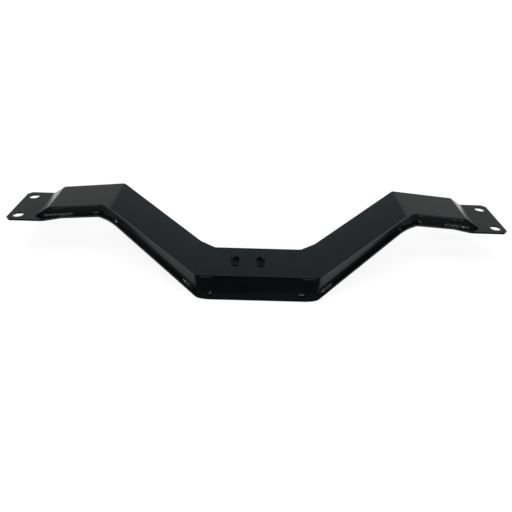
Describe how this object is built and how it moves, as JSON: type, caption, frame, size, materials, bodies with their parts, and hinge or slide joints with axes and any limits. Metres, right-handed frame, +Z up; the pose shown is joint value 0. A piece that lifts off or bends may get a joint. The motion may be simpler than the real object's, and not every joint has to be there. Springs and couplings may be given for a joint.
{
  "type": "transmission crossmember",
  "caption": "Welded box crossmember with a dropped, forward middle pad slotted for a transmission mount, two swept arms and flat slotted frame flanges, black coated.",
  "frame": {"origin": "centre of the whole part in plan, at the underside of the flat middle", "axes": "+X along the beam from flange to flange, +Y towards the wings and away from the forward pad, +Z up, square to the pad and the flanges"},
  "size_m": [0.914, 0.236, 0.0954],
  "materials": {
    "black_coat": "semi-gloss black powder coat",
    "coated_weld": "glossy black coat over a rough weld bead"
  },
  "bodies": {
    "root": {"top_plate": "black_coat", "bottom_plate": "black_coat", "front_web": "black_coat", "rear_web": "black_coat", "front_stitch_welds": "coated_weld", "rear_stitch_welds": "coated_weld", "ramp_end_welds": "coated_weld"}
  },
  "joints": []
}
